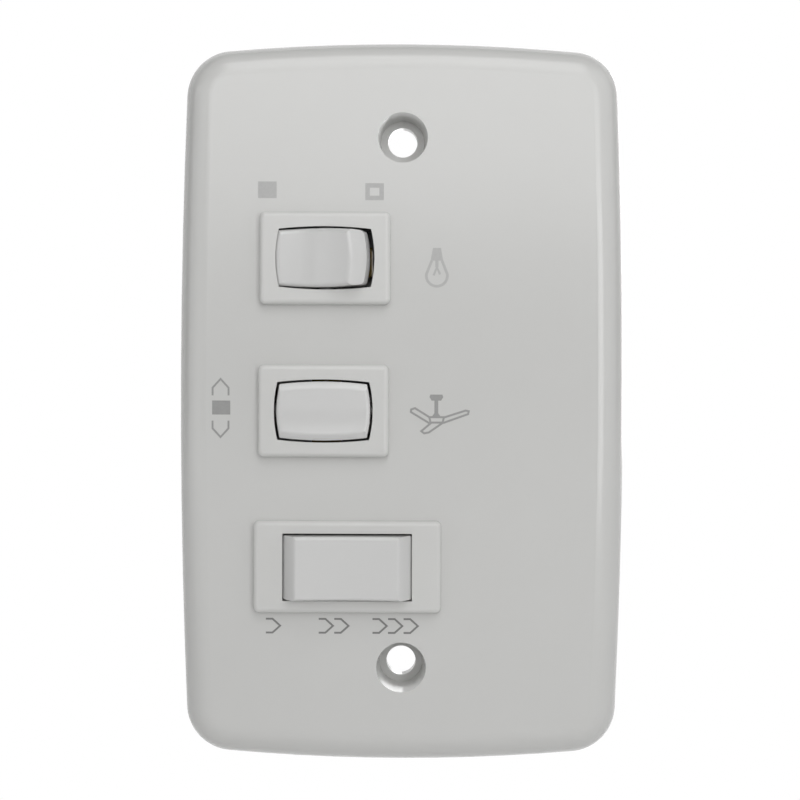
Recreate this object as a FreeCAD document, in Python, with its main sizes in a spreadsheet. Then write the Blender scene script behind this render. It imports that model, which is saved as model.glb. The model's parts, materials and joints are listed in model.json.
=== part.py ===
"""Three-gang ceiling-fan control on a moulded wall plate: lamp, direction and speed rocker switches.

Millimetres. +Z is up, -Y faces the room and Y = 0 is the wall. The origin lies on the wall,
midway between the two fixing holes.

Each switch is drawn in a frame of its own: the origin on the rocker's pivot, X along the way it
rocks, Z along its pivot pins and +Y into the wall.
"""

import FreeCAD
import Part
import math
import os
import re
import Sketcher

V = FreeCAD.Vector

# Driving dimensions

PLATE = {
    "plate_width": 70.6,
    "plate_height": 113.9,
    "plate_depth": 9.0,
    "plate_wall": 2.2,
    "plate_side_bulge": 1.3,
    "plate_end_bulge": 1.85,
    "plate_corner_radius": 7.5,
    "plate_edge_radius": 4.5,
    "fixing_spacing": 83.3,
    "fixing_radius": 2.35,
    "recess_radius": 3.93,
    "recess_depth": 6.5,
    "recess_draft": 4.2,
    "boss_wall": 1.5,
    "rib_height": 3.0,
    "rib_thickness": 1.4,
    "rib_from_end": 4.9,
    "rib_bite": 0.4,
    "cutout_clearance": 0.1,
}

SWITCH = {
    "bezel_height": 1.5,
    "bezel_corner_radius": 0.9,
    "bezel_edge_radius": 0.8,
    "pivot_depth": 5.5,
    "body_depth": 14.0,
    "body_corner_radius": 0.5,
    "floor_thickness": 1.5,
    "pin_radius": 1.25,
    "pin_clearance": 0.05,
    "pin_end_chamfer": 0.3,
    "pin_setback": 0.2,
    "lug_radius": 2.2,
    "lug_crown": 2.15,
    "skin": 1.1,
    "blank_allowance": 1.0,
    "stem_radius": 2.0,
    "stem_reach": 3.2,
    "bore_end": 3.1,
    "plunger_radius": 1.35,
    "plunger_clearance": 0.06,
    "plunger_tail": 0.4,
    "plunger_shoulder": 2.9,
    "nose_radius": 0.9,
    "nose_reach": 4.6,
    "spring_wire": 0.3,
    "spring_radius": 1.1,
    "spring_pitch": 0.85,
    "spring_end_gap": 0.05,
    "lever_gap": 0.12,
    "lever_thickness": 0.5,
    "lever_waist_length": 2.2,
    "lever_waist_width": 2.0,
    "contact_radius": 1.0,
    "contact_height": 0.7,
    "contact_gap": 0.08,
    "seat_length": 3.4,
    "terminal_thickness": 0.8,
    "blade_length": 8.0,
    "blade_tip_chamfer": 0.6,
    "blade_hole_radius": 0.8,
    "blade_hole_from_tip": 2.4,
    "shoulder": 0.4,
    "slot_clearance": 0.05,
    "prong_height": 0.9,
    "notch_clearance": 0.15,
    "barb_height": 0.4,
    "barb_length": 2.8,
    "barb_width": 4.0,
    "barb_clearance": 0.1,
}

# One table per switch. Along is the way the rocker rocks, across is along its pivot pins.
LIGHT = {
    "x": -12.1,
    "z": 22.7,
    "rest_angle": -14.0,
    "throw": 14.0,
    "lever_throw": 8.0,
    "bezel_along": 20.5,
    "bezel_across": 14.5,
    "body_along": 19.3,
    "body_across": 13.0,
    "window_along": 15.46,
    "window_across": 9.88,
    "bulge_along": 0.55,
    "bulge_across": 0.42,
    "chamber_along": 18.1,
    "chamber_across": 10.2,
    "lip_depth": 2.3,
    "crest_radius": 9.3,
    "crest_angle": 50.8,
    "crest_bulge": 0.46,
    "corner_round": 0.7,
    "face_sag": 1.0,
    "edge_round": 0.8,
    "rocker_along": 15.9,
    "rocker_across": 9.2,
    "skirt_bottom": 2.8,
    "lever_reach": 6.4,
    "lever_width": 4.0,
    "lever_rise": 15.0,
    "contact_reach": 5.4,
    "terminal_width": 4.8,
}

DIRECTION = {
    "x": -12.3,
    "z": -1.2,
    "rest_angle": 0.0,
    "throw": 10.0,
    "lever_throw": 6.0,
    "bezel_along": 14.5,
    "bezel_across": 20.5,
    "body_along": 13.0,
    "body_across": 19.3,
    "window_along": 9.88,
    "window_across": 15.46,
    "bulge_along": 0.42,
    "bulge_across": 0.55,
    "chamber_along": 11.6,
    "chamber_across": 16.4,
    "lip_depth": 0.9,
    "crest_radius": 7.25,
    "crest_angle": 60.0,
    "crest_bulge": 0.35,
    "face_sag": 0.25,
    "edge_round": 0.65,
    "rocker_along": 9.2,
    "rocker_across": 14.7,
    "skirt_bottom": 2.8,
    "lever_reach": 4.7,
    "lever_width": 4.0,
    "lever_rise": 11.0,
    "contact_reach": 3.7,
    "terminal_width": 4.8,
}

SPEED = {
    "x": -8.5,
    "z": -25.7,
    "rest_angle": 0.0,
    "throw": 14.0,
    "lever_throw": 8.0,
    "bezel_along": 29.5,
    "bezel_across": 14.5,
    "body_along": 28.0,
    "body_across": 13.0,
    "window_along": 20.3,
    "window_across": 10.6,
    "chamber_along": 23.2,
    "chamber_across": 11.2,
    "lip_depth": 2.3,
    "crest_radius": 11.3,
    "crest_angle": 44.5,
    "corner_round": 0.6,
    "face_sag": 0.5,
    "edge_round": 0.5,
    "rocker_along": 20.6,
    "rocker_across": 10.0,
    "skirt_bottom": 2.4,
    "lever_reach": 9.0,
    "lever_width": 3.6,
    "lever_rise": 15.0,
    "contact_reach": 8.0,
    "terminal_width": 4.0,
    "pole_spacing": 6.0,
}

CAPACITOR = {
    "capacitor_x": 14.5,
    "capacitor_z": 9.0,
    "capacitor_width": 17.0,
    "capacitor_length": 37.0,
    "capacitor_depth": 26.0,
    "capacitor_wall": 1.2,
    "capacitor_corner": 1.5,
    "potting_setback": 0.8,
    "capacitor_blade_spacing": 11.0,
    "capacitor_blade_width": 4.0,
    "cradle_wall": 1.3,
    "cradle_height": 5.0,
    "cradle_clearance": 0.1,
    "clip_width": 8.0,
    "clip_height": 12.0,
    "clip_barb": 0.6,
    "clip_barb_length": 2.0,
    "clip_side_clearance": 0.2,
}

SWITCHES = {"light": LIGHT, "direction": DIRECTION, "speed": SPEED}

# Lengths closer than this count as equal
SAME = 1e-4

# Document and sheet

doc = FreeCAD.newDocument("fan_control")
sheet = doc.addObject("Spreadsheet::Sheet", "Dims")
subparts = []


def fill_sheet():
    """Write every driving dimension to the sheet, each with its own alias."""
    rows = dict(PLATE)
    rows.update(SWITCH)
    for prefix, table in SWITCHES.items():
        for name, size in table.items():
            rows[f"{prefix}_{name}"] = size
    rows.update(CAPACITOR)
    for row, (name, size) in enumerate(rows.items(), start=1):
        sheet.set(f"A{row}", name)
        sheet.set(f"B{row}", str(size))
        sheet.setAlias(f"B{row}", name)
    doc.recompute()


def bound(text):
    """Turn a formula of dimension names into one that points at the sheet."""
    return re.sub(r"\b([a-z][a-z0-9]*_[a-z0-9_]*|skin|shoulder)\b", r"Dims.\1", text)


def value(text):
    """The present value of a formula of dimension names."""
    return float(sheet.evalExpression(bound(text)))


# Sketch and feature helpers


def new_body(label, origin=("0", "0", "0"), axis=None, angle="0"):
    """A sub-part whose own frame stands at origin, turned about axis."""
    body = doc.addObject("PartDesign::Body", label)
    body.Label = label
    if axis is not None:
        body.Placement = FreeCAD.Placement(V(), FreeCAD.Rotation(axis, value(angle)))
        body.setExpression("Placement.Rotation.Angle", bound(angle))
    for side, text in zip("xyz", origin):
        body.setExpression(f"Placement.Base.{side}", bound(text))
    subparts.append(body)
    return body


def new_sketch(body, plane, offset="0"):
    """A sketch on one of the body's own origin planes, moved along the plane's normal."""
    sketch = body.newObject("Sketcher::SketchObject", "sketch")
    support = [o for o in body.Origin.OriginFeatures if o.Role == plane][0]
    sketch.AttachmentSupport = [(support, "")]
    sketch.MapMode = "FlatFace"
    sketch.setExpression("AttachmentOffset.Base.z", bound(offset))
    return sketch


def pin_point(sketch, geometry, place, x, y):
    """Fix a point of the sketch by its two coordinates."""
    for kind, axis, text in (("DistanceX", -2, x), ("DistanceY", -1, y)):
        if text == "0":
            sketch.addConstraint(Sketcher.Constraint("PointOnObject", geometry, place, axis))
        else:
            rule = Sketcher.Constraint(kind, -1, 1, geometry, place, value(text))
            index = sketch.addConstraint(rule)
            sketch.setExpression(f"Constraints[{index}]", bound(text))


def arc_between(start, end, sag):
    """A counter-clockwise arc from start to end that bulges to its right by sag."""
    chord = end - start
    radius = (chord.Length**2 / 4 + sag**2) / (2 * sag)
    left = V(-chord.y, chord.x, 0).normalize()
    centre = (start + end) / 2 + left * (radius - sag)
    from_centre = [math.atan2(p.y - centre.y, p.x - centre.x) for p in (start, end)]
    circle = Part.Circle(centre, V(0, 0, 1), radius)
    return Part.ArcOfCircle(circle, from_centre[0], from_centre[1])


def outline(sketch, corners, bulges=None):
    """A closed counter-clockwise outline. bulges gives an edge's outward (or, negative, inward) sag."""
    bulges = bulges or {}
    points = [V(value(x), value(y), 0) for x, y in corners]
    ends = []
    for i, start in enumerate(points):
        end = points[(i + 1) % len(points)]
        sag = bulges.get(i)
        if sag is None:
            index = sketch.addGeometry(Part.LineSegment(start, end))
            ends.append((index, 1, 2))
        elif sag.startswith("-"):
            index = sketch.addGeometry(arc_between(end, start, value(sag[1:])))
            ends.append((index, 2, 1))
        else:
            index = sketch.addGeometry(arc_between(start, end, value(sag)))
            ends.append((index, 1, 2))
    for i, (index, first, last) in enumerate(ends):
        after = ends[(i + 1) % len(ends)]
        sketch.addConstraint(Sketcher.Constraint("Coincident", index, last, after[0], after[1]))
        pin_point(sketch, index, first, *corners[i])
        if i in bulges:
            sag = bulges[i].lstrip("-")
            x0, y0 = corners[i]
            x1, y1 = corners[(i + 1) % len(corners)]
            square = f"(({x1}) - ({x0}))^2 + (({y1}) - ({y0}))^2"
            radius = f"(({square}) / 4 + ({sag})^2) / (2 * ({sag}))"
            rule = Sketcher.Constraint("Radius", index, value(radius))
            number = sketch.addConstraint(rule)
            sketch.setExpression(f"Constraints[{number}]", bound(radius))
    return sketch


def own_size(name, size):
    """The name of a size that only some switches have, or None for a switch without it."""
    return f"{name}_{size}" if size in SWITCHES[name] else None


def rectangle(sketch, half_x, half_y, x="0", y="0", bulge_x=None, bulge_y=None):
    """A rectangle about (x, y). A bulge makes its two sides along that axis stand out in the middle."""
    side = f"({half_x})" if bulge_x is None else f"({half_x}) - ({bulge_x})"
    end = f"({half_y})" if bulge_y is None else f"({half_y}) - ({bulge_y})"
    corners = [
        (f"({x}) - ({side})", f"({y}) - ({end})"),
        (f"({x}) + ({side})", f"({y}) - ({end})"),
        (f"({x}) + ({side})", f"({y}) + ({end})"),
        (f"({x}) - ({side})", f"({y}) + ({end})"),
    ]
    bulges = {}
    if bulge_x is not None:
        bulges.update({1: bulge_x, 3: bulge_x})
    if bulge_y is not None:
        bulges.update({0: bulge_y, 2: bulge_y})
    return outline(sketch, corners, bulges)


def circle(sketch, x, y, radius):
    """A circle of the sketch about (x, y)."""
    index = sketch.addGeometry(Part.Circle(V(value(x), value(y), 0), V(0, 0, 1), value(radius)))
    pin_point(sketch, index, 3, x, y)
    number = sketch.addConstraint(Sketcher.Constraint("Radius", index, value(radius)))
    sketch.setExpression(f"Constraints[{number}]", bound(radius))
    return sketch


def extrude(body, sketch, length, kind="Pad", both_ways=False, reverse=False, taper=None):
    """A pad or a pocket of a sketch."""
    feature = body.newObject(f"PartDesign::{kind}", kind.lower())
    feature.Profile = sketch
    feature.SideType = "Symmetric" if both_ways else "One side"
    feature.Reversed = reverse
    feature.setExpression("Length", bound(length))
    if taper is not None:
        feature.setExpression("TaperAngle", bound(taper))
    body.Tip = feature
    return feature


def turned(body, sketch, kind="Revolution", axis="V_Axis"):
    """A full revolution or groove of a sketch about one of its axes."""
    feature = body.newObject(f"PartDesign::{kind}", kind.lower())
    feature.Profile = sketch
    feature.ReferenceAxis = (sketch, [axis])
    feature.Angle = 360
    body.Tip = feature
    return feature


def mirrored(body, feature, plane):
    """A mirror image of a feature across one of the body's own planes."""
    mirror = body.newObject("PartDesign::Mirrored", "mirrored")
    mirror.Originals = [feature]
    mirror.MirrorPlane = ([o for o in body.Origin.OriginFeatures if o.Role == plane][0], [""])
    body.Tip = mirror
    return mirror


def dressed(body, kind, size, chosen):
    """A fillet or chamfer of the edges that chosen picks on the body's present solid."""
    doc.recompute()
    base = body.Tip
    edges = base.Shape.Edges
    names = [f"Edge{i + 1}" for i, edge in enumerate(edges) if chosen(edge)]
    feature = body.newObject(f"PartDesign::{kind}", kind.lower())
    feature.Base = (base, names)
    feature.setExpression("Radius" if kind == "Fillet" else "Size", bound(size))
    body.Tip = feature
    return feature


def middle(edge):
    """The point halfway along an edge."""
    low, high = edge.ParameterRange
    return edge.valueAt((low + high) / 2)


def along_y(edge):
    """Whether an edge is straight and runs into the wall."""
    box = edge.BoundBox
    return box.YLength > SAME and box.XLength < SAME and box.ZLength < SAME


def at_y(level):
    """A test for edges that lie in the plane Y = level."""
    return lambda edge: edge.BoundBox.YLength < SAME and abs(edge.BoundBox.YMin - level) < SAME


def front_at_y(level):
    """A test for edges whose end towards the user lies at Y = level."""
    return lambda edge: abs(edge.BoundBox.YMin - level) < SAME


def back_at_y(level):
    """A test for edges whose end towards the wall lies at Y = level."""
    return lambda edge: abs(edge.BoundBox.YMax - level) < SAME


def at_z(level):
    """A test for edges that lie in either of the planes Z = level and Z = -level."""
    return lambda edge: edge.BoundBox.ZLength < SAME and abs(abs(middle(edge).z) - level) < SAME


def all_of(*tests):
    """A test for edges that pass every one of the tests."""
    return lambda edge: all(test(edge) for test in tests)


# Wall plate


def plate_outline(sketch, inset):
    """The plate's barrel outline, moved inward by inset."""
    return rectangle(
        sketch,
        f"plate_width / 2 - ({inset})",
        f"plate_height / 2 - ({inset})",
        bulge_x="plate_side_bulge",
        bulge_y="plate_end_bulge",
    )


def wall_plate():
    """Moulded shell with a rolled-off edge, sunk fixing holes, switch cut-outs and a cradle behind."""
    body = new_body("wall_plate")
    face, floor = -value("plate_depth"), -value("plate_depth - plate_wall")
    extrude(body, plate_outline(new_sketch(body, "XZ_Plane"), "0"), "plate_depth")
    hollow = plate_outline(new_sketch(body, "XZ_Plane"), "plate_wall")
    extrude(body, hollow, "plate_depth - plate_wall", "Pocket", reverse=True)
    # The hollow is rounded first: a square corner of it would break through the rounded outside
    dressed(body, "Fillet", "plate_corner_radius - plate_wall", all_of(along_y, front_at_y(floor)))
    dressed(body, "Fillet", "plate_edge_radius - plate_wall", at_y(floor))
    dressed(body, "Fillet", "plate_corner_radius", all_of(along_y, front_at_y(face)))
    dressed(body, "Fillet", "plate_edge_radius", at_y(face))
    fixing_tubes(body)
    cross_ribs(body)
    fixing_holes(body)
    for name in SWITCHES:
        switch_cutout(body, name)
    capacitor_cradle(body)
    return body


def fixing_tubes(body):
    """Tubes behind the fixing holes, which bear on the wall box."""
    for side in ("-", ""):
        height = f"{side}fixing_spacing / 2"
        tube = circle(new_sketch(body, "XZ_Plane"), "0", height, "recess_radius + boss_wall")
        extrude(body, tube, "plate_depth - plate_wall / 2")


def fixing_holes(body):
    """The drafted recess that sinks each screw's head, and the hole for its shank."""
    for side in ("-", ""):
        height = f"{side}fixing_spacing / 2"
        recess = circle(new_sketch(body, "XZ_Plane", "plate_depth"), "0", height, "recess_radius")
        extrude(body, recess, "recess_depth", "Pocket", taper="-recess_draft")
        hole = circle(new_sketch(body, "XZ_Plane", "plate_depth"), "0", height, "fixing_radius")
        extrude(body, hole, "plate_depth * 2", "Pocket", both_ways=True)


def switch_halves(name):
    """A switch body's half sizes along X and along Z of the plate."""
    along, across = f"{name}_body_along / 2", f"{name}_body_across / 2"
    return (across, along) if name == "direction" else (along, across)


def switch_cutout(body, name):
    """The opening that a switch body snaps into."""
    half_x, half_z = switch_halves(name)
    opening = rectangle(
        new_sketch(body, "XZ_Plane", "plate_depth"),
        f"{half_x} + cutout_clearance",
        f"{half_z} + cutout_clearance",
        f"{name}_x",
        f"{name}_z",
    )
    extrude(body, opening, "plate_wall * 2", "Pocket")


def cross_ribs(body):
    """Two ribs across the shell that keep it flat between the fixing holes and the ends."""
    for side in ("-", ""):
        rib = rectangle(
            new_sketch(body, "XZ_Plane", "plate_depth - plate_wall - rib_height"),
            "plate_width / 2 - plate_side_bulge - plate_wall + rib_bite",
            "rib_thickness / 2",
            "0",
            f"{side}(plate_height / 2 - plate_wall - rib_from_end)",
        )
        extrude(body, rib, "rib_height + rib_bite")


def capacitor_cradle(body):
    """A rim that locates the capacitor's foot, and two sprung clips that hold its sides."""
    floor = "plate_depth - plate_wall / 2"
    half_x = "capacitor_width / 2 + cradle_clearance"
    half_z = "capacitor_length / 2 + cradle_clearance"
    rim = rectangle(
        new_sketch(body, "XZ_Plane", "plate_depth - plate_wall - cradle_height"),
        f"{half_x} + cradle_wall",
        f"{half_z} + cradle_wall",
        "capacitor_x",
        "capacitor_z",
    )
    rectangle(rim, half_x, half_z, "capacitor_x", "capacitor_z")
    extrude(body, rim, "cradle_height + plate_wall / 2")
    for side in ("-", "+"):
        face = f"capacitor_z {side} ({half_z})"
        back = f"{face} {side} cradle_wall"
        tip = f"{face} {side} -clip_barb"
        top = f"clip_height - ({floor})"
        low = f"{top} - clip_barb_length"
        clip = new_sketch(body, "YZ_Plane", "capacitor_x")
        corners = [(f"-({floor})", back), (f"-({floor})", face), (low, face)]
        corners += [(f"{top} - clip_barb_length / 2", tip), (top, face), (top, back)]
        if side == "-":
            corners.reverse()
        outline(clip, corners[::-1])
        extrude(body, clip, "clip_width", both_ways=True)


# Switch housings


def pivot_origin(name):
    """Where a switch's pivot stands on the plate."""
    return (f"{name}_x", "pivot_depth - bezel_height - plate_depth", f"{name}_z")


def turn_of(name, tilt="0"):
    """The axis and angle that turn a switch's own frame to its place on the plate."""
    if name == "direction":
        return V(0, 1, 0), "-90"
    return V(0, 0, 1), tilt


def poles_of(name):
    """Each pole's place along the pivot pins."""
    if name == "speed":
        return {"upper": "speed_pole_spacing / 2", "lower": "-speed_pole_spacing / 2"}
    return {"": "0"}


def ends_of(name):
    """The ends of the switch that have a contact, by the side they lie on."""
    if name == "light":
        return {"load": 1}
    if name == "direction":
        return {"up": 1, "down": -1}
    return {"right": 1, "left": -1}


def housing(name):
    """One-piece moulding: bezel, barrel window, chamber, pivot holes, terminal slots and snap barbs."""
    body = new_body(f"{name}_housing", pivot_origin(name), *turn_of(name))
    n = name
    face = "pivot_depth - bezel_height"
    bezel = rectangle(new_sketch(body, "XZ_Plane", face), f"{n}_bezel_along / 2", f"{n}_bezel_across / 2")
    extrude(body, bezel, "bezel_height")
    dressed(body, "Fillet", "bezel_corner_radius", along_y)
    dressed(body, "Fillet", "bezel_edge_radius", at_y(-value("pivot_depth")))
    case = rectangle(new_sketch(body, "XZ_Plane", face), f"{n}_body_along / 2", f"{n}_body_across / 2")
    extrude(body, case, "body_depth", reverse=True)
    back = value("body_depth + bezel_height - pivot_depth")
    dressed(body, "Fillet", "body_corner_radius", all_of(along_y, back_at_y(back)))
    snap_barbs(body, n)
    window(body, n)
    hollow = rectangle(
        new_sketch(body, "XZ_Plane", f"pivot_depth - {n}_lip_depth"),
        f"{n}_chamber_along / 2",
        f"{n}_chamber_across / 2",
    )
    chamber = f"body_depth + bezel_height - {n}_lip_depth - floor_thickness"
    extrude(body, hollow, chamber, "Pocket")
    pivot = circle(new_sketch(body, "XY_Plane"), "0", "0", "pin_radius + pin_clearance")
    extrude(body, pivot, f"{n}_body_across * 2", "Pocket", both_ways=True)
    terminal_seats(body, n)
    return body


def window(body, n):
    """The barrel-sided window, whose ends widen inward to clear the turning rocker."""
    outer = rectangle(
        new_sketch(body, "XZ_Plane", "pivot_depth"),
        f"{n}_window_along / 2",
        f"{n}_window_across / 2",
        bulge_x=own_size(n, "bulge_along"),
        bulge_y=own_size(n, "bulge_across"),
    )
    inner = rectangle(
        new_sketch(body, "XZ_Plane", f"pivot_depth - {n}_lip_depth"),
        f"{n}_chamber_along / 2",
        f"{n}_window_across / 2",
        bulge_x=own_size(n, "bulge_along"),
        bulge_y=own_size(n, "bulge_across"),
    )
    feature = body.newObject("PartDesign::SubtractiveLoft", "window")
    feature.Profile = outer
    feature.Sections = [inner]
    feature.Ruled = True
    body.Tip = feature


def snap_barbs(body, n):
    """Wedges at the two ends that spring past the plate's cut-out and hold its back."""
    top = "pivot_depth - bezel_height - plate_wall - barb_clearance"
    if n == "direction":
        sketch = new_sketch(body, "YZ_Plane")
        half = f"{n}_body_across / 2"
        proud = f"{half} + barb_height"
        corners = [(f"-({top})", half), (f"barb_length - ({top})", half), (f"-({top})", proud)]
        far = "XY_Plane"
    else:
        sketch = new_sketch(body, "XY_Plane")
        half = f"{n}_body_along / 2"
        proud = f"{half} + barb_height"
        corners = [(half, f"-({top})"), (proud, f"-({top})"), (half, f"barb_length - ({top})")]
        far = "YZ_Plane"
    barb = extrude(body, outline(sketch, corners), "barb_width", both_ways=True)
    mirrored(body, barb, far)


def floor_level():
    """How far the chamber's floor lies behind the pivot."""
    return "body_depth + bezel_height - pivot_depth - floor_thickness"


def seat_level(n):
    """How far the top of a fixed contact's seat lies behind the pivot."""
    wing = f"{n}_contact_reach * sin({n}_lever_rise - {n}_lever_throw)"
    return f"nose_reach + lever_gap + lever_thickness - {wing} + 2 * contact_height + contact_gap"


def blade_x(n):
    """The middle of an end terminal's blade along the switch."""
    return f"{n}_contact_reach + seat_length / 2 - terminal_thickness / 2"


def terminal_seats(body, n):
    """A slot in the floor for each blade, and a pad under each fixed contact's seat."""
    width = f"{n}_terminal_width / 2 - shoulder + slot_clearance"
    thick = "terminal_thickness / 2 + slot_clearance"
    for pole in poles_of(n).values():
        for sign in ends_of(n).values():
            centre = f"{sign} * ({n}_contact_reach - terminal_thickness / 2)"
            pad = rectangle(
                new_sketch(body, "XZ_Plane", f"-({floor_level()}) - floor_thickness / 2"),
                "seat_length / 2 - terminal_thickness / 2 - slot_clearance",
                f"{n}_terminal_width / 2",
                centre,
                pole,
            )
            level = f"({seat_level(n)}) + terminal_thickness"
            extrude(body, pad, f"({floor_level()}) + floor_thickness / 2 - ({level})")
        places = ["0"] + [f"{sign} * ({blade_x(n)})" for sign in ends_of(n).values()]
        for place in places:
            slot = rectangle(new_sketch(body, "XZ_Plane", f"-({floor_level()})"), thick, width, place, pole)
            extrude(body, slot, "floor_thickness * 2", "Pocket")


# Rockers


def rocker(name):
    """Moulded rocker: dished face, turned end walls, hollow underside, spring stems and pivot pins."""
    n = name
    body = new_body(f"{n}_rocker", pivot_origin(n), *turn_of(n, f"{n}_rest_angle"))
    crest_x = f"{n}_crest_radius * cos({n}_crest_angle)"
    crest_y = f"{n}_crest_radius * sin({n}_crest_angle)"
    plan = rectangle(
        new_sketch(body, "XZ_Plane", f"{n}_skirt_bottom"),
        f"{n}_rocker_along / 2",
        f"{n}_rocker_across / 2",
        bulge_x=own_size(n, "bulge_along"),
        bulge_y=own_size(n, "bulge_across"),
    )
    extrude(body, plan, f"{crest_y} + blank_allowance - {n}_skirt_bottom")
    rounding = own_size(n, "corner_round")
    if rounding:
        dressed(body, "Fillet", rounding, along_y)
    turned_ends(body, n)
    face = new_sketch(body, "XY_Plane")
    over = f"-({crest_y} + 2 * blank_allowance)"
    crest = f"-({crest_y})"
    left = f"-({crest_x})"
    outline(face, [(left, over), (crest_x, over), (crest_x, crest), (left, crest)], {2: f"{n}_face_sag"})
    extrude(body, face, f"{n}_rocker_across * 2", "Pocket", both_ways=True)
    doc.recompute()
    dish = min(body.Tip.Shape.Faces, key=lambda f: f.CenterOfMass.y + abs(f.CenterOfMass.x) * 10)
    rim = [e.hashCode() for e in dish.Edges]
    dressed(body, "Fillet", f"{n}_edge_round", lambda e: e.hashCode() in rim)
    hollow_underside(body, n)
    return body


def turned_ends(body, n):
    """Turn the blank's ends to a barrel about the pivot, so that the gap stays even as it rocks."""
    bulge = own_size(n, "crest_bulge")
    edge = f"{n}_crest_radius - {bulge}" if bulge else f"{n}_crest_radius"
    across = f"{n}_rocker_across / 2"
    outside = f"{n}_crest_radius * 2"
    ring = new_sketch(body, "XZ_Plane")
    corners = [(edge, f"-{across}"), (outside, f"-{across}"), (outside, across), (edge, across)]
    outline(ring, corners, {3: f"-{bulge}"} if bulge else None)
    turned(body, ring, "Groove")


def ceiling_level(n):
    """How far the underside of a rocker's face lies in front of the pivot."""
    return f"{n}_crest_radius * sin({n}_crest_angle) - {n}_face_sag - skin"


def hollow_underside(body, n):
    """Hollow the rocker from below, then add stems, webs, pivot lugs and pins."""
    bulge_along = own_size(n, "bulge_along") or "0"
    bulge_across = own_size(n, "bulge_across") or "0"
    ceiling = ceiling_level(n)
    turned_wall = f"sqrt({n}_crest_radius^2 - ({ceiling})^2)"
    wall_along = f"min({n}_rocker_along / 2; {turned_wall}) - {bulge_along}"
    hollow = rectangle(
        new_sketch(body, "XZ_Plane", f"{n}_skirt_bottom"),
        f"{wall_along} - skin",
        f"{n}_rocker_across / 2 - {bulge_across} - skin",
    )
    extrude(body, hollow, f"{ceiling} - {n}_skirt_bottom", "Pocket", reverse=True)
    root = f"{ceiling} + skin / 2"
    web = rectangle(
        new_sketch(body, "XZ_Plane", root),
        f"{wall_along} - skin / 2",
        "skin / 2",
    )
    extrude(body, web, f"{root} - {n}_skirt_bottom", reverse=True)
    for pole in poles_of(n).values():
        stem = circle(new_sketch(body, "XZ_Plane", root), "0", pole, "stem_radius")
        extrude(body, stem, f"{root} + stem_reach", reverse=True)
    pivot_lugs(body, n)
    for pole in poles_of(n).values():
        bore = circle(
            new_sketch(body, "XZ_Plane", "-stem_reach"), "0", pole, "plunger_radius + plunger_clearance"
        )
        extrude(body, bore, "stem_reach + bore_end", "Pocket", reverse=True)


def pivot_lugs(body, n):
    """A lug under each side wall, with the pin that turns in the housing."""
    outer = f"{n}_rocker_across / 2 - slot_clearance"
    lug = outline(
        new_sketch(body, "XY_Plane", f"{outer} - skin"),
        [
            ("-lug_radius", f"-({n}_skirt_bottom + skin)"),
            ("lug_radius", f"-({n}_skirt_bottom + skin)"),
            ("lug_radius", "0"),
            ("-lug_radius", "0"),
        ],
        {2: "lug_crown"},
    )
    ear = extrude(body, lug, "skin")
    mirrored(body, ear, "XY_Plane")
    end = f"{n}_body_across / 2 - pin_setback"
    shank = circle(new_sketch(body, "XY_Plane", f"{outer} - skin / 2"), "0", "0", "pin_radius")
    pin = extrude(body, shank, f"{end} - ({outer} - skin / 2)")
    mirrored(body, pin, "XY_Plane")
    dressed(body, "Chamfer", "pin_end_chamfer", at_z(value(end)))


# Contact mechanism


def joined_name(name, pole, piece):
    """The sub-part's name, with the pole's name where the switch has two."""
    return "_".join(word for word in (name, pole, piece) if word)


def pole_origin(name, pole_place, behind="0"):
    """A point on the centre line of a pole, that far behind the pivot."""
    x, y, z = pivot_origin(name)
    return (x, f"{y} + {behind}", f"{z} + {pole_place}")


def spring(name, pole, place):
    """Coil spring between the bottom of the stem's bore and the plunger."""
    turn = turn_of(name, f"{name}_rest_angle")
    body = new_body(joined_name(name, pole, "spring"), pole_origin(name, place), *turn)
    sketch = new_sketch(body, "XY_Plane")
    circle(sketch, "spring_radius", "-(bore_end - spring_end_gap - spring_wire / 2)", "spring_wire / 2")
    coil = body.newObject("PartDesign::AdditiveHelix", "coil")
    coil.Profile = sketch
    coil.ReferenceAxis = (sketch, ["V_Axis"])
    coil.Mode = "pitch-height-angle"
    coil.setExpression("Pitch", bound("spring_pitch"))
    coil.setExpression("Height", bound("bore_end + plunger_tail - 2 * spring_end_gap - spring_wire"))
    body.Tip = coil
    return body


def plunger(name, pole, place):
    """Turned plunger: a tail that slides in the stem and a round nose that rides on the lever."""
    turn = turn_of(name, f"{name}_rest_angle")
    body = new_body(joined_name(name, pole, "plunger"), pole_origin(name, place), *turn)
    sketch = new_sketch(body, "XY_Plane")
    straight = "nose_reach - nose_radius"
    corners = [
        ("0", "plunger_tail"),
        ("plunger_radius", "plunger_tail"),
        ("plunger_radius", "plunger_shoulder"),
        ("nose_radius", "plunger_shoulder"),
        ("nose_radius", straight),
        ("0", "nose_reach"),
    ]
    outline(sketch, corners, {4: "nose_radius * (1 - cos(45))"})
    turned(body, sketch)
    return body


def lever_place(name):
    """How far the lever's fulcrum lies behind the pivot."""
    return "(nose_reach + lever_gap + lever_thickness)"


def rest_lever_angle(name):
    """The lever's tilt at rest, opposite to the rocker's and in the same share as their throws."""
    return f"-{name}_rest_angle * {name}_lever_throw / {name}_throw"


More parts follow.
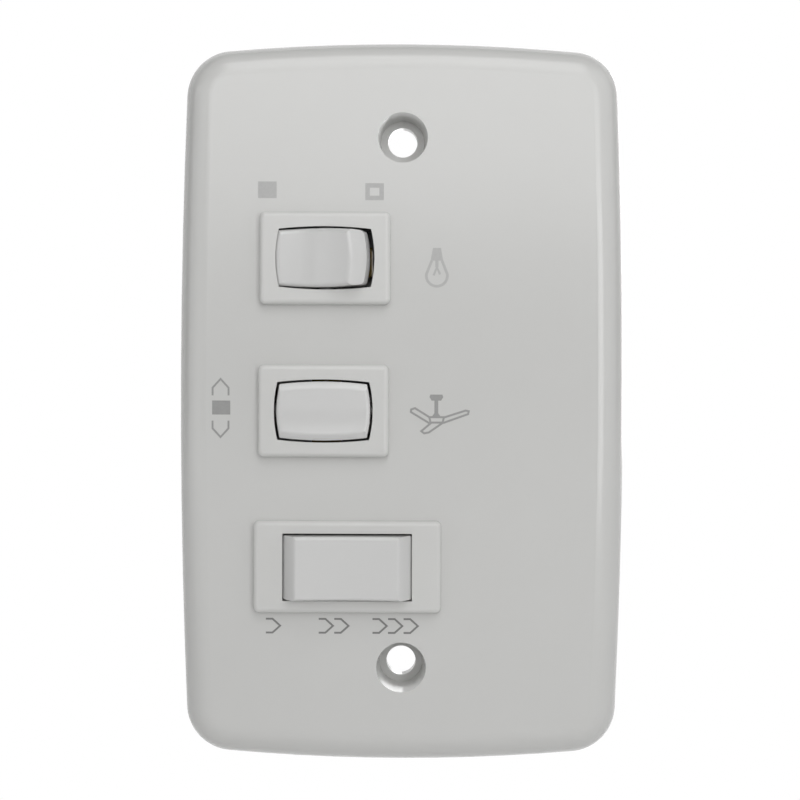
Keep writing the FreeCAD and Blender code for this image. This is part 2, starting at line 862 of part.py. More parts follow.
def contact_lever(name, pole, place):
    """Folded strip that rocks on the middle terminal, waisted where the terminal's prongs hold it."""
    n = name
    origin = pole_origin(n, place, lever_place(n))
    body = new_body(joined_name(n, pole, "contact_lever"), origin, *turn_of(n, rest_lever_angle(n)))
    reach_x = f"{n}_lever_reach * cos({n}_lever_rise)"
    reach_y = f"{n}_lever_reach * sin({n}_lever_rise)"
    down = f"lever_thickness / cos({n}_lever_rise)"
    section = new_sketch(body, "XY_Plane")
    corners = [
        (f"-({reach_x})", f"-({reach_y}) - ({down})"),
        ("0", f"-({down})"),
        (reach_x, f"-({reach_y}) - ({down})"),
        (reach_x, f"-({reach_y})"),
        ("0", "0"),
        (f"-({reach_x})", f"-({reach_y})"),
    ]
    outline(section, corners)
    extrude(body, section, f"{n}_lever_width", both_ways=True)
    waist = new_sketch(body, "XZ_Plane", f"-{n}_lever_reach")
    for side in ("-", ""):
        middle_z = f"{side}({n}_lever_width + lever_waist_width) / 4"
        half_z = f"({n}_lever_width - lever_waist_width) / 4"
        rectangle(waist, "lever_waist_length / 2", f"{half_z}", "0", middle_z)
    extrude(body, waist, f"{n}_lever_reach * 2", "Pocket", reverse=True)
    return body


def moving_contacts(name, pole, place):
    """Domed rivets on the underside of the lever, one at each end that has a fixed contact."""
    n = name
    origin = pole_origin(n, place, lever_place(n))
    word = "moving_contact" if len(ends_of(n)) == 1 else "moving_contacts"
    rivets = []
    for sign in ends_of(n).values():
        rivet = contact_rivet(value("contact_radius"), value("contact_height"), domed=True)
        rise = value(f"{n}_lever_rise")
        rivet.rotate(V(), V(0, 0, 1), -sign * rise)
        reach = value(f"{n}_contact_reach")
        angle = math.radians(rise)
        rivet.translate(V(sign * reach * math.cos(angle), -reach * math.sin(angle), 0))
        rivets.append(rivet)
    return placed_solids(joined_name(n, pole, word), rivets, origin, *turn_of(n, rest_lever_angle(n)))


def placed_solids(label, solids, origin, axis=V(0, 0, 1), angle="0"):
    """A sub-part made of solids that were worked out from the sheet's present values."""
    piece = doc.addObject("Part::Feature", label)
    piece.Label = label
    piece.Shape = Part.makeCompound(solids)
    turn = FreeCAD.Rotation(axis, value(angle))
    piece.Placement = FreeCAD.Placement(V(*[value(text) for text in origin]), turn)
    subparts.append(piece)
    return piece


def contact_rivet(radius, height, domed):
    """A contact rivet's head on the plane Y = 0, standing towards +Y."""
    if not domed:
        return Part.makeCylinder(radius, height, V(), V(0, 1, 0))
    ball = (radius**2 + height**2) / (2 * height)
    sphere = Part.makeSphere(ball, V(0, height - ball, 0))
    return sphere.common(Part.makeCylinder(radius, height * 2, V(), V(0, 1, 0)))


def fixed_contacts(name):
    """Flat rivets on the end terminals' seats."""
    n = name
    origin = pivot_origin(n)
    poles = poles_of(n)
    word = "fixed_contact" if len(ends_of(n)) * len(poles) == 1 else "fixed_contacts"
    rivets = []
    for place in poles.values():
        for sign in ends_of(n).values():
            rivet = contact_rivet(value("contact_radius"), value("contact_height"), domed=False)
            level = value(f"{seat_level(n)} - contact_height")
            rivet.translate(V(sign * value(f"{n}_contact_reach"), level, value(place)))
            rivets.append(rivet)
    return placed_solids(f"{n}_{word}", rivets, origin, *turn_of(n))


def blade_tip(n, body):
    """Bevel the tip of a terminal's blade."""
    tip = value(f"({floor_level()}) + floor_thickness + blade_length")
    dressed(body, "Chamfer", "blade_tip_chamfer", lambda e: at_y(tip)(e) and e.BoundBox.ZLength < SAME)


def tail_outline(sketch, n, top, notch=None):
    """A terminal's flat blank: shoulders on the floor, a narrower blade and its solder hole."""
    half = f"{n}_terminal_width / 2"
    blade = f"{half} - shoulder"
    floor = floor_level()
    tip = f"{floor} + floor_thickness + blade_length"
    lower = [(tip, f"-({blade})"), (tip, blade), (floor, blade), (floor, half)]
    upper = [(top, half)]
    if notch is not None:
        depth, width = notch
        upper += [(top, width), (depth, width), (depth, f"-({width})"), (top, f"-({width})")]
    upper += [(top, f"-({half})")]
    outline(sketch, lower + upper + [(floor, f"-({half})"), (floor, f"-({blade})")])
    circle(sketch, f"{tip} - blade_hole_from_tip", "0", "blade_hole_radius")
    return sketch


def common_terminal(name, pole, place):
    """Middle terminal: the lever rocks in a notch between its two prongs."""
    n = name
    body = new_body(joined_name(n, pole, "common_terminal"), pole_origin(n, place), *turn_of(n))
    fulcrum = f"{lever_place(n)} + slot_clearance"
    top = f"{lever_place(n)} - prong_height"
    notch = (fulcrum, "lever_waist_width / 2 + notch_clearance")
    blank = tail_outline(new_sketch(body, "YZ_Plane"), n, top, notch)
    extrude(body, blank, "terminal_thickness", both_ways=True)
    blade_tip(n, body)
    return body


def end_terminal(name, pole, place, end, sign):
    """End terminal: a blade folded at right angles into the seat of the fixed contact."""
    n = name
    body = new_body(joined_name(n, pole, f"{end}_terminal"), pole_origin(n, place), *turn_of(n))
    level = seat_level(n)
    blank = new_sketch(body, "YZ_Plane", f"{sign} * ({blade_x(n)})")
    extrude(body, tail_outline(blank, n, level), "terminal_thickness", both_ways=True)
    blade_tip(n, body)
    seat = rectangle(
        new_sketch(body, "XZ_Plane", f"-({level})"),
        "seat_length / 2",
        f"{n}_terminal_width / 2",
        f"{sign} * {n}_contact_reach",
        "0",
    )
    extrude(body, seat, "terminal_thickness", reverse=True)
    return body


def switch(name):
    """All the pieces of one switch."""
    housing(name)
    rocker(name)
    for pole, place in poles_of(name).items():
        spring(name, pole, place)
        plunger(name, pole, place)
        contact_lever(name, pole, place)
        moving_contacts(name, pole, place)
        common_terminal(name, pole, place)
        for end, sign in ends_of(name).items():
            end_terminal(name, pole, place, end, sign)
    fixed_contacts(name)


# Capacitor


def capacitor_origin():
    """The middle of the capacitor's foot, on the plate's inner face."""
    return ("capacitor_x", "plate_wall - plate_depth", "capacitor_z")


def capacitor_case():
    """Moulded tub, open at the back, that stands in the plate's cradle."""
    body = new_body("capacitor_case", capacitor_origin())
    half = ("capacitor_width / 2", "capacitor_length / 2")
    block = rectangle(new_sketch(body, "XZ_Plane"), *half)
    extrude(body, block, "capacitor_depth", reverse=True)
    dressed(body, "Fillet", "capacitor_corner", along_y)
    dressed(body, "Fillet", "capacitor_corner / 2", at_y(0.0))
    inner = [f"{side} - capacitor_wall" for side in half]
    tub = rectangle(new_sketch(body, "XZ_Plane", "-capacitor_depth"), *inner)
    extrude(body, tub, "capacitor_depth - capacitor_wall", "Pocket", reverse=True)
    for side in ("-", ""):
        place = f"{side}(capacitor_length / 2)"
        tip = f"{side}(capacitor_length / 2 - clip_barb - cradle_clearance)"
        middle_y = "clip_height - plate_wall / 2 - clip_barb_length / 2"
        low, high = f"{middle_y} - clip_barb_length", f"{middle_y} + clip_barb_length"
        corners = [(low, place), (middle_y, tip), (high, place)]
        groove = outline(new_sketch(body, "YZ_Plane"), corners if side == "" else corners[::-1])
        extrude(body, groove, "clip_width + 2 * clip_side_clearance", "Pocket", both_ways=True)
    return body


def capacitor_potting():
    """Resin that seals the tub, a little below its rim."""
    body = new_body("capacitor_potting", capacitor_origin())
    half = ("capacitor_width / 2 - capacitor_wall", "capacitor_length / 2 - capacitor_wall")
    fill = rectangle(new_sketch(body, "XZ_Plane", "-capacitor_wall"), *half)
    extrude(body, fill, "capacitor_depth - capacitor_wall - potting_setback", reverse=True)
    return body


def capacitor_terminals():
    """Three blades that stand out of the resin: one shared and one for each capacitance."""
    resin = value("capacitor_depth - potting_setback")
    thick, width = value("terminal_thickness"), value("capacitor_blade_width")
    length = value("blade_length")
    hole_y = length - value("blade_hole_from_tip")
    hole = Part.makeCylinder(value("blade_hole_radius"), thick, V(width / 2, hole_y, 0))
    blank = Part.makeBox(width, length, thick)
    corners = [e for e in blank.Edges if at_y(length)(e) and e.BoundBox.ZLength > SAME]
    blank = blank.makeChamfer(value("blade_tip_chamfer"), corners).cut(hole)
    blades = []
    for step in (-1, 0, 1):
        shift = V(-width / 2, resin, step * value("capacitor_blade_spacing") - thick / 2)
        blades.append(blank.translated(shift))
    return placed_solids("capacitor_terminals", blades, capacitor_origin())


# Build, check and write


def check():
    """Stop if any object failed or any sub-part has no valid solid."""
    doc.recompute()
    for item in doc.Objects:
        if "Invalid" in item.State or "Error" in item.State:
            raise RuntimeError(f"{item.Label} ({item.Name}) failed: {item.State}")
    for piece in subparts:
        shape = piece.Shape
        if shape.isNull() or not shape.isValid() or not shape.Solids:
            raise RuntimeError(f"{piece.Label} has no valid solid")


def write():
    """Write each sub-part's solids to a file of its own."""
    os.makedirs("parts", exist_ok=True)
    for piece in subparts:
        piece.Shape.exportStep(f"parts/{piece.Label}.step")


fill_sheet()
wall_plate()
for switch_name in SWITCHES:
    switch(switch_name)
capacitor_case()
capacitor_potting()
capacitor_terminals()
check()
write()
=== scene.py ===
"""Three-gang ceiling-fan control on a wall plate: finishes, printed signs, stage, lamps and camera.

Metres, in the frame of the solids: +Z up, -Y out of the wall, the origin on the wall midway
between the fixing holes. The signs are drawn in millimetres.
"""

import bpy
import json
import math
from mathutils import Matrix, Vector


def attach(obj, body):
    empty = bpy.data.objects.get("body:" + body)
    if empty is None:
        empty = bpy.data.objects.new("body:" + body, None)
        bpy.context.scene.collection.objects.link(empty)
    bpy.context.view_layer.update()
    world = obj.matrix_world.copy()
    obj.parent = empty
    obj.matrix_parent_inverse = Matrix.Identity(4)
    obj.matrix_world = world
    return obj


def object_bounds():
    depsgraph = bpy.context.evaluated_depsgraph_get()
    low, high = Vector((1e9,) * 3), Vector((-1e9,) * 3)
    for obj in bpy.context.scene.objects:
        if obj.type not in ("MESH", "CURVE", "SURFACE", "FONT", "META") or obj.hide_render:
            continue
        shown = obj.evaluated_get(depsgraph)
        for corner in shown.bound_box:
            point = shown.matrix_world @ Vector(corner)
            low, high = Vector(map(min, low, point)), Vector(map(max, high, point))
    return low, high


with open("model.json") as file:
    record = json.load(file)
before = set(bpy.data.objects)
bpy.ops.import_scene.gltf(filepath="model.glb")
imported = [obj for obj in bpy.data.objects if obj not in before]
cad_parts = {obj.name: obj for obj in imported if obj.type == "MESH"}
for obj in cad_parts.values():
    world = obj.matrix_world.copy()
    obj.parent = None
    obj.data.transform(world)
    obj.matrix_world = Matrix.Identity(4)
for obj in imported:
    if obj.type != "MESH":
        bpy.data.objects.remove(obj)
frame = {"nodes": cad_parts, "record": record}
SOLIDS_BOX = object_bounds()

MM = 0.001

# Camera, fitted to the photograph's outline, bezels and fixing holes
PHOTO_SIDE = 800.0
FOCAL_PIXELS = 1636.0
SENSOR_WIDTH = 36.0
CAMERA_NEAREST = 10.0 * MM
CAMERA_TO_FACE = 257.0 * MM
CAMERA_ELEVATION = math.radians(1.3)
CAMERA_ROLL = math.radians(0.2)
CAMERA_AIM_X = -0.31 * MM
CAMERA_AIM_Z = 0.53 * MM

FACE_Y = -9.0 * MM

# Colours as they would be written for print, before the light falls on them. The brass is the one
# exception: it is darkened further as painted shade.
PLATE_WHITE = "#D0D0CE"
BEZEL_WHITE = "#D4D4D2"
ROCKER_WHITE = "#D4D4D3"
PALE_INK = "#B4B4B3"
GREY_INK = "#9A9A99"
DARK_INK = "#7E7E7D"
# Dull brass, and darker still as painted shade for the chambers seen through the rocker gaps
BRASS_DARKENED_AS_SHADE = "#8F7845"
CONTACT_SILVER = "#DCDAD6"
SPRING_GREY = "#9C9DA0"
TIN_GREY = "#C9C9C8"
CASE_BLACK = "#26272A"
RESIN_BLACK = "#1D1D1F"
SWEEP_WHITE = "#F2F2F2"
PURE_WHITE = "#FFFFFF"

# Sockets of a Mix node that is set to colour. They share their names with its other sockets.
MIX_FIRST = 6
MIX_SECOND = 7
MIX_RESULT = 2


def linear(hex_colour):
    """An sRGB hex colour as linear RGBA."""
    channels = [int(hex_colour[i : i + 2], 16) / 255 for i in (1, 3, 5)]
    return [c / 12.92 if c <= 0.04045 else ((c + 0.055) / 1.055) ** 2.4 for c in channels] + [1.0]


def times(colour, factor):
    """A linear colour made lighter or darker, no lighter than white."""
    return [min(1.0, c * factor) for c in colour[:3]] + [1.0]


def add(tree, kind, settings=None, links=None):
    """Add a node to a tree. Settings name its properties or sockets, links what feeds a socket."""
    node = tree.nodes.new(kind)
    for name, value in (settings or {}).items():
        if hasattr(node, name):
            setattr(node, name, value)
        else:
            node.inputs[name].default_value = value
    for name, source in (links or {}).items():
        tree.links.new(source, node.inputs[name])
    return node


def new_material(name):
    """An empty node material and its tree."""
    material = bpy.data.materials.new(name)
    material.use_nodes = True
    material.node_tree.nodes.clear()
    return material, material.node_tree


def per_metre(size_mm):
    """The scale of a noise whose features are size_mm across."""
    return 1.0 / (size_mm * MM)


def moulded(name, colour, roughness, ior, ripple_mm, ripple_depth_mm, mottle=0.012):
    """Moulded or poured plastic: a faint flow mottle and a long low ripple in its polish."""
    flow_mm = 18.0
    material, tree = new_material(name)
    place = add(tree, "ShaderNodeTexCoord")
    flow = add(
        tree,
        "ShaderNodeTexNoise",
        {"Scale": per_metre(flow_mm), "Detail": 2.0, "Roughness": 0.5},
        {"Vector": place.outputs["Object"]},
    )
    shade = linear(colour)
    tint = add(tree, "ShaderNodeMix", {"data_type": "RGBA"}, {"Factor": flow.outputs["Fac"]})
    tint.inputs[MIX_FIRST].default_value = times(shade, 1 - mottle)
    tint.inputs[MIX_SECOND].default_value = times(shade, 1 + mottle)
    ripple = add(
        tree,
        "ShaderNodeTexNoise",
        {"Scale": per_metre(ripple_mm), "Detail": 1.5, "Roughness": 0.45},
        {"Vector": place.outputs["Object"]},
    )
    bump = add(
        tree,
        "ShaderNodeBump",
        {"Strength": 0.5, "Distance": ripple_depth_mm * MM},
        {"Height": ripple.outputs["Fac"]},
    )
    surface = add(
        tree,
        "ShaderNodeBsdfPrincipled",
        {"Roughness": roughness, "IOR": ior, "Metallic": 0.0},
        {"Base Color": tint.outputs[MIX_RESULT], "Normal": bump.outputs["Normal"]},
    )
    add(tree, "ShaderNodeOutputMaterial", {}, {"Surface": surface.outputs["BSDF"]})
    return material


def metal(name, colour, roughness, grain_mm, stretch=(1.0, 1.0, 1.0)):
    """Worked metal: its own colour in the reflection and a grain that breaks up the gloss.

    Rolling and drawing lines are a few hundredths of a millimetre wide, too fine to show, so the
    grain is drawn as coarse as it needs to show.
    """
    grain_depth_mm = 0.01
    smoothest = 0.8
    roughest = 1.25
    material, tree = new_material(name)
    place = add(tree, "ShaderNodeTexCoord")
    along = add(tree, "ShaderNodeMapping", {"Scale": stretch}, {"Vector": place.outputs["Object"]})
    grain = add(
        tree,
        "ShaderNodeTexNoise",
        {"Scale": per_metre(grain_mm), "Detail": 3.0},
        {"Vector": along.outputs["Vector"]},
    )
    spread = add(
        tree,
        "ShaderNodeMapRange",
        {
            "From Min": 0.3,
            "From Max": 0.7,
            "To Min": roughness * smoothest,
            "To Max": roughness * roughest,
        },
        {"Value": grain.outputs["Fac"]},
    )
    bump = add(
        tree,
        "ShaderNodeBump",
        {"Strength": 0.4, "Distance": grain_depth_mm * MM},
        {"Height": grain.outputs["Fac"]},
    )
    surface = add(
        tree,
        "ShaderNodeBsdfPrincipled",
        {"Base Color": linear(colour), "Metallic": 1.0},
        {"Roughness": spread.outputs["Result"], "Normal": bump.outputs["Normal"]},
    )
    add(tree, "ShaderNodeOutputMaterial", {}, {"Surface": surface.outputs["BSDF"]})
    return material


def printed_ink(name, colour):
    """Pad-printed ink: a thin, slightly matt film whose cover varies a little."""
    cover_mm = 0.35
    full_cover = 0.94
    thin_cover = 1.08
    material, tree = new_material(name)
    place = add(tree, "ShaderNodeTexCoord")
    cover = add(
        tree,
        "ShaderNodeTexNoise",
        {"Scale": per_metre(cover_mm), "Detail": 2.0},
        {"Vector": place.outputs["Object"]},
    )
    ink = linear(colour)
    tint = add(tree, "ShaderNodeMix", {"data_type": "RGBA"}, {"Factor": cover.outputs["Fac"]})
    tint.inputs[MIX_FIRST].default_value = times(ink, full_cover)
    tint.inputs[MIX_SECOND].default_value = times(ink, thin_cover)
    surface = add(
        tree,
        "ShaderNodeBsdfPrincipled",
        {"Roughness": 0.42, "IOR": 1.5},
        {"Base Color": tint.outputs[MIX_RESULT]},
    )
    add(tree, "ShaderNodeOutputMaterial", {}, {"Surface": surface.outputs["BSDF"]})
    return material


def white_sweep():
    """Matt white paint for the light to fall on, seen as plain white directly and in a gloss."""
    material, tree = new_material("white_sweep")
    ray = add(tree, "ShaderNodeLightPath")
    seen = add(tree, "ShaderNodeMath", {"operation": "MAXIMUM"})
    tree.links.new(ray.outputs["Is Camera Ray"], seen.inputs[0])
    tree.links.new(ray.outputs["Is Glossy Ray"], seen.inputs[1])
    paint = add(tree, "ShaderNodeBsdfDiffuse", {"Color": linear(SWEEP_WHITE)})
    white = add(tree, "ShaderNodeEmission", {"Color": linear(PURE_WHITE), "Strength": 1.0})
    both = add(tree, "ShaderNodeMixShader", {}, {"Fac": seen.outputs["Value"]})
    tree.links.new(paint.outputs["BSDF"], both.inputs[1])
    tree.links.new(white.outputs["Emission"], both.inputs[2])
    add(tree, "ShaderNodeOutputMaterial", {}, {"Surface": both.outputs["Shader"]})
    return material


def finish_solids():
    """Give every solid the finish of the real piece."""
    # Rolling lines run along Y, the length of each blade
    rolled_along = (1.0, 0.15, 1.0)
    by_slot = {
        # ABS: hard and glossy, with a wide soft highlight along the rolled edge
        "plate_plastic": moulded(
            "moulded_abs_gloss",
            PLATE_WHITE,
            roughness=0.2,
            ior=1.54,
            ripple_mm=2.2,
            ripple_depth_mm=0.004,
        ),
        # Nylon 66: a little whiter than the plate and slightly less glossy
        "switch_plastic": moulded(
            "moulded_nylon_satin",
            BEZEL_WHITE,
            roughness=0.26,
            ior=1.53,
            ripple_mm=1.6,
            ripple_depth_mm=0.004,
        ),
        # Polycarbonate: the smoothest of the three, polished where the finger presses
        "rocker_plastic": moulded(
            "moulded_polycarbonate_gloss",
            ROCKER_WHITE,
            roughness=0.18,
            ior=1.58,
            ripple_mm=2.6,
            ripple_depth_mm=0.003,
        ),
        # Brass strip, stamped: brown-yellow and dulled, with rolling lines along each blade. Its
        # colour is kept darker than the metal's own, a painted shade for where it shows in the dark
        # gaps round the rockers
        "terminal_brass": metal(
            "stamped_brass", BRASS_DARKENED_AS_SHADE, roughness=0.4, grain_mm=0.25, stretch=rolled_along
        ),
        # Silver, headed cold into a rivet: pale and bright
        "contact_silver": metal("headed_silver", CONTACT_SILVER, roughness=0.22, grain_mm=0.2),
        # Spring steel, drawn: mid grey, with a fine even grain
        "spring_steel": metal("drawn_spring_steel", SPRING_GREY, roughness=0.3, grain_mm=0.12),
        # Brass strip, tinned after stamping: light grey, with the rolling lines showing through
        "terminal_tin": metal(
            "tinned_brass", TIN_GREY, roughness=0.34, grain_mm=0.3, stretch=rolled_along
        ),
        # PBT: black and half matt, with the low grain of an eroded mould. The real grain, about
        # a tenth of a millimetre wide, is too fine to show and is drawn as coarse as it needs to.
        "capacitor_plastic": moulded(
            "moulded_pbt_black",
            CASE_BLACK,
            roughness=0.42,
            ior=1.57,
            ripple_mm=0.8,
            ripple_depth_mm=0.01,
            mottle=0.06,
        ),
        # Epoxy, poured: blacker and glossier than the case, with the slow waves of a set liquid
        "potting_resin": moulded(
            "poured_epoxy",
            RESIN_BLACK,
            roughness=0.16,
            ior=1.52,
            ripple_mm=5.0,
            ripple_depth_mm=0.05,
            mottle=0.08,
        ),
    }
    for part in frame["record"]["subparts"]:
        node = frame["nodes"][part["node"]]
        node.data.materials.clear()
        node.data.materials.append(by_slot[part["material_slot"]])


# Printed signs: millimetres on the plate's face, X to the right and Z up from the origin

INK_FILM = 0.02
INK_STEP = 0.0005

LAMP_ON_AT = (-21.2, 33.4)
LAMP_ON_SIZE = (2.9, 2.6)
LAMP_OFF_AT = (-4.4, 33.15)
LAMP_OFF_SIZE = (2.9, 2.65)
LAMP_OFF_LINE = 0.7

BULB_AT = (5.4, 21.3)
FAN_AT = (5.4, -1.7)

UP_AT = (-28.5, 2.45)
STOP_AT = (-28.4, -0.75)
STOP_SIZE = (2.85, 2.2)
DOWN_AT = (-28.5, -4.1)
UP_DOWN_SCALE = 1.15

SPEED_ROW = -35.1
SPEED_PITCH = 2.45
SPEED_MIDDLES = {1: -20.2, 2: -10.65, 3: -0.95}

# Arrow head of open strokes: a short stub, a slope to the point, and back
ARROW_DEPTH = 2.25
ARROW_STUB = 1.05
ARROW_HEIGHT = 2.18
ARROW_STROKE = 0.3

# How square on a bend counts at the least, so that the mitre of a sharp one stays short
LEAST_SQUARE_ON = 0.5


def stroke(points, width, closed=False):
    """A line of even width through the points: one four-sided shape a run, mitred at the bends."""
    path = [Vector(point) for point in points]
    count = len(path)
    sides = []
    for i, here in enumerate(path):
        before = path[i - 1] if i or closed else None
        after = path[(i + 1) % count] if i < count - 1 or closed else None
        way_in = (here - before).normalized() if before is not None else (after - here).normalized()
        way_out = (after - here).normalized() if after is not None else way_in
        across = Vector((-(way_in + way_out).y, (way_in + way_out).x)).normalized()
        square_on = across.dot(Vector((-way_in.y, way_in.x)))
        reach = width / 2 / max(LEAST_SQUARE_ON, square_on)
        sides.append((here + across * reach, here - across * reach))
    shapes = []
    for i in range(count if closed else count - 1):
        left, right = sides[i]
        next_left, next_right = sides[(i + 1) % count]
        shapes.append([right, next_right, next_left, left])
    return shapes


def arc(x, z, radius, start, end, steps):
    """Points on an arc about (x, z), from one angle to another in degrees."""
    angles = [math.radians(start + (end - start) * i / steps) for i in range(steps + 1)]
    return [(x + radius * math.cos(a), z + radius * math.sin(a)) for a in angles]


def block(at, size):
    """A filled rectangle with its middle at a point."""
    x, z = at
    w, h = size[0] / 2, size[1] / 2
    return [(x - w, z - h), (x + w, z - h), (x + w, z + h), (x - w, z + h)]


def open_block(at, size, line):
    """The outline of a rectangle, with a line that lies inside its size."""
    return stroke(block(at, (size[0] - line, size[1] - line)), line, closed=True)


def moved(shapes, at, turn=0.0):
    """Shapes turned by an angle in degrees and moved to a point."""
    x, z = at
    c, s = math.cos(math.radians(turn)), math.sin(math.radians(turn))
    return [[(x + p[0] * c - p[1] * s, z + p[0] * s + p[1] * c) for p in shape] for shape in shapes]


def arrow_head(at, turn=0.0, scale=1.0):
    """An open arrow head with its middle at a point. It points along +X before it is turned."""
    half, tip, stub = ARROW_HEIGHT * scale / 2, ARROW_DEPTH * scale / 2, ARROW_STUB * scale
    bend = stub - tip
    points = [(-tip, half), (bend, half), (tip, 0), (bend, -half), (-tip, -half)]
    return moved(stroke(points, ARROW_STROKE), at, turn)


def bulb_sign():
    """A light bulb hanging cap up: open glass, filled cap, and a filament on its stem."""
    glass_line, stem_line, filament_line = 0.42, 0.5, 0.36
    neck = 1.1
    stem_end = (0, 0.05)
    globe = arc(x=0, z=-1.25, radius=1.66, start=172, end=368, steps=16)
    glass = [(-0.8, neck)] + globe + [(0.8, neck)]
    cap = [(-0.98, neck), (0.98, neck), (0.62, 3.1), (-0.62, 3.1)]
    stem = [(0, neck), stem_end]
    filament = [(-0.5, -1.2), stem_end, (0.5, -1.05)]
    shapes = stroke(glass, glass_line) + [cap]
    shapes += stroke(stem, stem_line) + stroke(filament, filament_line)
    return moved(shapes, BULB_AT)


def fan_sign():
    """A ceiling fan seen from the side: canopy, rod, hub, outlined motor and three open blades."""
    line = 0.32
    canopy = [(-0.75, 2.15), (0.75, 2.15), (1.08, 2.7), (0.95, 3.1), (-0.95, 3.1), (-1.08, 2.7)]
    rod = [(-0.3, 0.1), (0.3, 0.1), (0.3, 2.2), (-0.3, 2.2)]
    hub = [(-0.75, -0.45), (0.75, -0.45), (0.3, 0.2), (-0.3, 0.2)]
    motor = [(-1.1, -0.45), (1.2, -0.45), (1.0, -1.3), (-0.9, -1.3)]
    blades = (
        [(-1.1, -1.4), (-4.0, 0.35), (-3.95, 0.75), (-3.35, 0.95), (-1.0, -0.5)],
        [(1.2, -0.5), (4.6, 0.6), (5.1, 0.5), (5.0, 0.05), (1.1, -1.35)],
        [(-0.8, -1.35), (-2.35, -2.65), (-1.9, -3.0), (-1.15, -2.85), (1.0, -1.35)],
    )
    shapes = [canopy, rod, hub] + stroke(motor, line, closed=True)
    for blade in blades:
        shapes += stroke(blade, line)
    return moved(shapes, FAN_AT)


def speed_sign(count):
    """One to three arrow heads in a row below the speed rocker."""
    shapes = []
    for i in range(count):
        x = SPEED_MIDDLES[count] + (i - (count - 1) / 2) * SPEED_PITCH
        shapes += arrow_head((x, SPEED_ROW))
    return shapes


def printed(name, shapes, material):
    """A film of ink on the plate's face, one thin closed slab for each shape."""
    verts, faces = [], []
    for layer, shape in enumerate(shapes):
        first, count = len(verts), len(shape)
        # Strokes that cross keep to levels of their own, so that no two faces coincide
        film = INK_FILM + layer * INK_STEP
        for level in (FACE_Y, FACE_Y - film * MM):
            verts += [(point[0] * MM, level, point[1] * MM) for point in shape]
        faces.append([first + count + i for i in range(count)])
        faces.append([first + i for i in reversed(range(count))])
        for i in range(count):
            j = (i + 1) % count
            faces.append((first + i, first + j, first + count + j, first + count + i))
    mesh = bpy.data.meshes.new(name)
    mesh.from_pydata(verts, [], faces)
    mesh.materials.append(material)
    piece = bpy.data.objects.new(name, mesh)
    bpy.context.scene.collection.objects.link(piece)
    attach(piece, "plate")


def print_signs():
    """The signs beside each switch, where the photograph shows them."""
    pale = printed_ink("pad_printed_pale_grey", PALE_INK)
    grey = printed_ink("pad_printed_grey", GREY_INK)
    dark = printed_ink("pad_printed_dark_grey", DARK_INK)
    printed("lamp_on_sign", [block(LAMP_ON_AT, LAMP_ON_SIZE)], pale)
    printed("lamp_off_sign", open_block(LAMP_OFF_AT, LAMP_OFF_SIZE, LAMP_OFF_LINE), pale)
    printed("lamp_sign", bulb_sign(), pale)
    printed("fan_sign", fan_sign(), grey)
    printed("up_sign", arrow_head(UP_AT, 90, UP_DOWN_SCALE), grey)
    printed("stop_sign", [block(STOP_AT, STOP_SIZE)], grey)
    printed("down_sign", arrow_head(DOWN_AT, -90, UP_DOWN_SCALE), grey)
    for count in SPEED_MIDDLES:
        printed(f"speed_{count}_sign", speed_sign(count), dark)


# Stage, lamps and camera

SWEEP_BELOW = 14.0 * MM
SWEEP_REACH = 1.6
SWEEP_BEHIND = 0.35
SWEEP_BEND = 0.2
SWEEP_RISE = 1.2
SWEEP_STEPS = 16

# Soft boxes round the plate: degrees to the right of the front, degrees up, distance, width and
# height in metres, and how bright the face is, where 1 is white. All but the last, which lights
# the back, are fitted to how the light falls across the plate in the photograph.
LAMPS = {
    "over_camera": (5, 17, 0.5, 0.5, 0.16, 2.2),
    "above": (4, 50, 0.3, 0.2, 0.2, 2.4),
    "right_window": (25, -1, 0.6, 0.14, 0.22, 3.8),
    "right_fill": (62, 24, 0.6, 0.6, 0.6, 0.7),
    "left_fill": (-58, -2, 0.6, 0.6, 0.6, 0.85),
    "behind": (155, 12, 0.34, 0.34, 0.2, 2.0),
}
SURROUNDINGS_LEVEL = 0.045


def sweep():
    """A floor below the plate that curves up into a wall behind it."""
    floor_z = SOLIDS_BOX[0][2] - SWEEP_BELOW
    profile = [(-SWEEP_REACH, floor_z)]
    for i in range(SWEEP_STEPS + 1):
        turn = math.pi / 2 * i / SWEEP_STEPS
        y = SWEEP_BEHIND + SWEEP_BEND * math.sin(turn)
        profile.append((y, floor_z + SWEEP_BEND * (1 - math.cos(turn))))
    profile.append((SWEEP_BEHIND + SWEEP_BEND, floor_z + SWEEP_RISE))
    verts = [(x, y, z) for y, z in profile for x in (-SWEEP_REACH, SWEEP_REACH)]
    faces = [(2 * i, 2 * i + 1, 2 * i + 3, 2 * i + 2) for i in range(len(profile) - 1)]
    mesh = bpy.data.meshes.new("sweep")
    mesh.from_pydata(verts, [], faces)
    mesh.shade_smooth()
    mesh.materials.append(white_sweep())
    stage = bpy.data.objects.new("sweep", mesh)
    bpy.context.scene.collection.objects.link(stage)


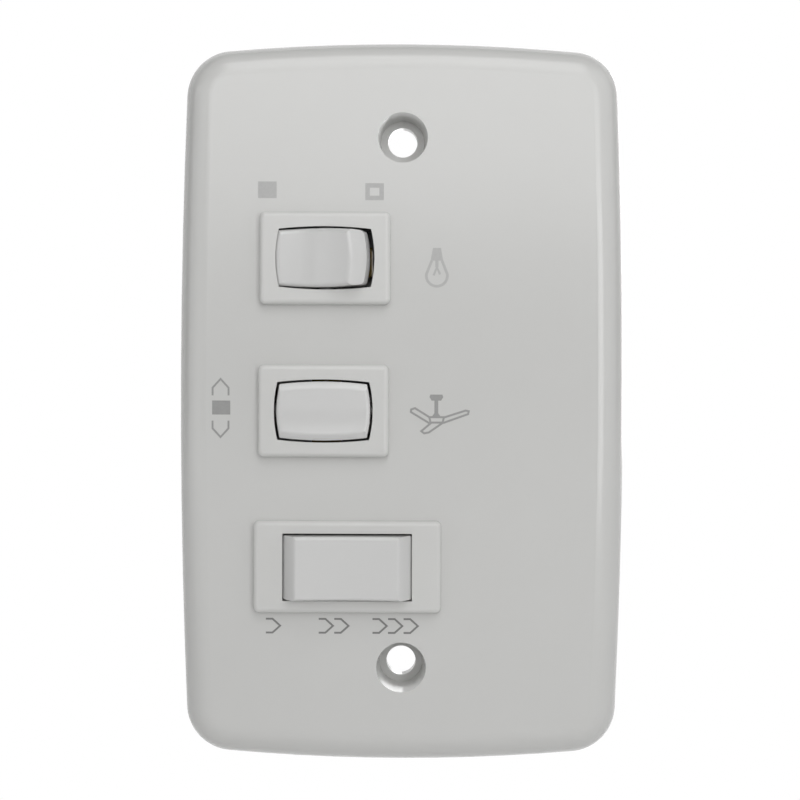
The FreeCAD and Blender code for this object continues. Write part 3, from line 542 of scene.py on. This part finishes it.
def lamp(name, azimuth, elevation, distance, width, height, brightness):
    """A soft box that faces the plate's middle and that the camera doesn't see."""
    data = bpy.data.lights.new(name, "AREA")
    data.shape = "RECTANGLE"
    data.size = width
    data.size_y = height
    data.energy = brightness * math.pi * width * height
    box = bpy.data.objects.new(name, data)
    turn, rise = math.radians(azimuth), math.radians(elevation)
    level = math.cos(rise)
    way = Vector((math.sin(turn) * level, -math.cos(turn) * level, math.sin(rise)))
    box.location = way * distance
    box.rotation_euler = way.to_track_quat("Z", "Y").to_euler()
    box.visible_camera = False
    bpy.context.scene.collection.objects.link(box)


def surroundings():
    """Faint even light from all round, seen as plain white by the camera."""
    world = bpy.data.worlds.new("surroundings")
    bpy.context.scene.world = world
    world.use_nodes = True
    tree = world.node_tree
    tree.nodes.clear()
    ray = add(tree, "ShaderNodeLightPath")
    level = add(
        tree,
        "ShaderNodeMapRange",
        {"To Min": SURROUNDINGS_LEVEL, "To Max": 1.0},
        {"Value": ray.outputs["Is Camera Ray"]},
    )
    even = add(
        tree,
        "ShaderNodeBackground",
        {"Color": linear(PURE_WHITE)},
        {"Strength": level.outputs["Result"]},
    )
    add(tree, "ShaderNodeOutputWorld", {}, {"Surface": even.outputs["Background"]})


def camera():
    """The photograph's viewpoint, a little above the plate's middle."""
    data = bpy.data.cameras.new("camera")
    data.sensor_fit = "HORIZONTAL"
    data.sensor_width = SENSOR_WIDTH
    data.lens = SENSOR_WIDTH * FOCAL_PIXELS / PHOTO_SIDE
    data.clip_start = CAMERA_NEAREST
    eye = bpy.data.objects.new("camera", data)
    aim = Vector((CAMERA_AIM_X, FACE_Y, CAMERA_AIM_Z))
    back = Vector((0, -math.cos(CAMERA_ELEVATION), math.sin(CAMERA_ELEVATION)))
    eye.location = aim + back * CAMERA_TO_FACE
    upright = back.to_track_quat("Z", "Y").to_matrix()
    eye.rotation_euler = (upright @ Matrix.Rotation(CAMERA_ROLL, 3, "Z")).to_euler()
    bpy.context.scene.collection.objects.link(eye)
    bpy.context.scene.camera = eye


finish_solids()
print_signs()
sweep()
for name, setting in LAMPS.items():
    lamp(name, *setting)
surroundings()
camera()

bpy.context.scene.view_settings.view_transform = "Standard"
